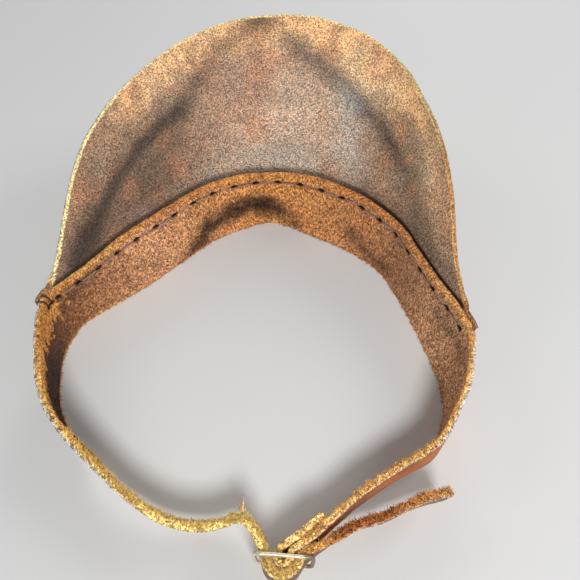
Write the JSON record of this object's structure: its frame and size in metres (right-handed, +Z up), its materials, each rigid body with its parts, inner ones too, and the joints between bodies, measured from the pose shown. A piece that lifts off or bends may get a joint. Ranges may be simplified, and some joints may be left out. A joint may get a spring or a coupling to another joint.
{
  "type": "sun visor",
  "caption": "Curved leather brim saddle-stitched to a wide leather headband, whose straps join in a wire slide buckle to fit the head; open on top.",
  "frame": {"origin": "middle of the whole object's footprint, on the surface it stands on, upside down", "axes": "+Y from the buckle towards the brim, +Z up from the rest edge towards the brim edge (down when worn), +X to the right seen from behind the buckle"},
  "size_m": [0.2088, 0.27, 0.0866],
  "materials": {
    "band_leather": "vegetable-tanned leather worn to a fuzzy orange-brown nap inside, smooth red-brown grain outside, pale raw edges",
    "brim_leather": "dark mottled brown, crackled and half glossy from wear, with a pale raw rim",
    "thread": "dark waxed linen thread",
    "buckle_wire": "plain bright wire, lightly tarnished"
  },
  "bodies": {
    "visor": {"headband": "band_leather", "brim": "brim_leather", "seam_thread_a": "thread", "seam_thread_b": "thread", "end_tack_1": "thread", "end_tack_2": "thread", "fold_thread": "thread"},
    "buckle": {"buckle_frame": "buckle_wire", "buckle_bar": "buckle_wire"},
    "tail": {"tail_strap": "band_leather"}
  },
  "joints": [
    {"name": "buckle_turn", "type": "hinge", "parent": "visor", "child": "buckle", "pos_m": [0.0148, -0.1266, 0.0185], "axis": [0, 0, 1], "range_deg": [-8, 4]},
    {"name": "tail_flex", "type": "hinge", "parent": "visor", "child": "tail", "pos_m": [0.0353, -0.1187, 0.0185], "axis": [0.083, -0.1525, 0.9848], "range_deg": [-35, 12], "stiffness_Nm_per_rad": 0.03}
  ]
}
